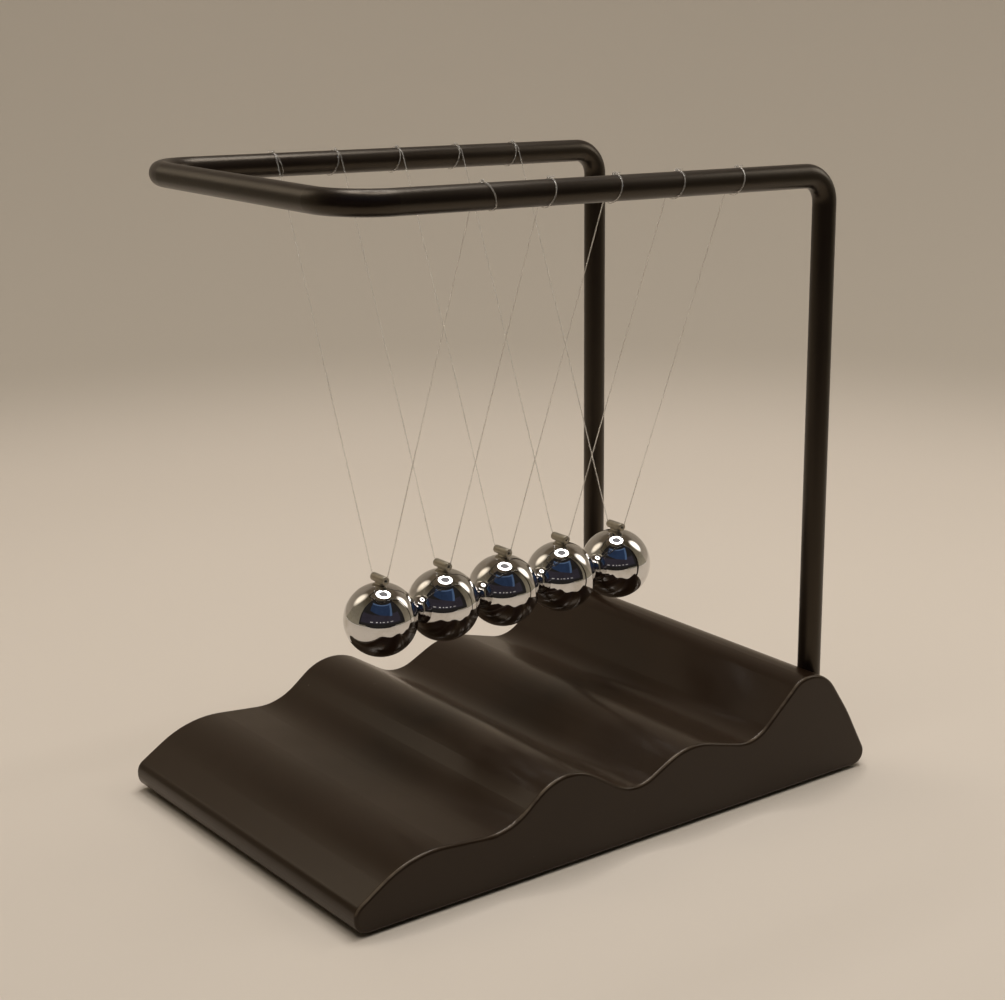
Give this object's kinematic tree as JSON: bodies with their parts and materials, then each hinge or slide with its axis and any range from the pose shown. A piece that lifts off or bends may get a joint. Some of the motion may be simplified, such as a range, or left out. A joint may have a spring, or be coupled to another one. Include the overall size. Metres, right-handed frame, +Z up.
{
  "type": "newtons cradle",
  "caption": "Desk cradle: chrome balls in a row, each hung on a V of thread from the two rails of one bent black tube, over a hollow black base with a wave-shaped top",
  "frame": {"origin": "on the surface that the feet stand on, under the middle of the base", "axes": "+Z up; +X from the low nose of the base towards the two legs, along the row of balls; +Y across the cradle, to the far rail"},
  "size_m": [0.1729, 0.113, 0.1756],
  "materials": {
    "black_plastic": "moulded black plastic, fine satin grain",
    "black_coat": "black powder coat, satin",
    "chrome": "polished chrome plate on steel",
    "satin_nickel": "satin nickel tube",
    "nylon": "clear nylon monofilament",
    "rubber": "soft black rubber",
    "zinc_steel": "zinc-plated steel"
  },
  "bodies": {
    "stand": {"base_shell": "black_plastic", "base_cover": "black_plastic", "cover_screws": "zinc_steel", "foot_nose_near": "rubber", "foot_nose_far": "rubber", "foot_heel_near": "rubber", "foot_heel_far": "rubber", "frame": "black_coat", "leg_plugs": "zinc_steel", "leg_washers": "zinc_steel", "leg_screws": "zinc_steel", "hitch_near_1": "nylon", "hitch_near_2": "nylon", "hitch_near_3": "nylon", "hitch_near_4": "nylon", "hitch_near_5": "nylon", "hitch_far_1": "nylon", "hitch_far_2": "nylon", "hitch_far_3": "nylon", "hitch_far_4": "nylon", "hitch_far_5": "nylon"},
    "pendulum_1": {"ball_1": "chrome", "bail_1": "satin_nickel", "thread_1": "nylon"},
    "pendulum_2": {"ball_2": "chrome", "bail_2": "satin_nickel", "thread_2": "nylon"},
    "pendulum_3": {"ball_3": "chrome", "bail_3": "satin_nickel", "thread_3": "nylon"},
    "pendulum_4": {"ball_4": "chrome", "bail_4": "satin_nickel", "thread_4": "nylon"},
    "pendulum_5": {"ball_5": "chrome", "bail_5": "satin_nickel", "thread_5": "nylon"}
  },
  "joints": [
    {"name": "swing_1", "type": "hinge", "parent": "stand", "child": "pendulum_1", "pos_m": [-0.0405, 0, 0.17263], "axis": [0, -1, 0], "range_deg": [-60, 0.05]},
    {"name": "swing_2", "type": "hinge", "parent": "stand", "child": "pendulum_2", "pos_m": [-0.02025, 0, 0.17209], "axis": [0, -1, 0], "range_deg": [-0.05, 0.05]},
    {"name": "swing_3", "type": "hinge", "parent": "stand", "child": "pendulum_3", "pos_m": [0, 0, 0.17156], "axis": [0, -1, 0], "range_deg": [-0.05, 0.05]},
    {"name": "swing_4", "type": "hinge", "parent": "stand", "child": "pendulum_4", "pos_m": [0.02025, 0, 0.17102], "axis": [0, -1, 0], "range_deg": [-0.05, 0.05]},
    {"name": "swing_5", "type": "hinge", "parent": "stand", "child": "pendulum_5", "pos_m": [0.0405, 0, 0.17049], "axis": [0, -1, 0], "range_deg": [-0.05, 60]}
  ]
}
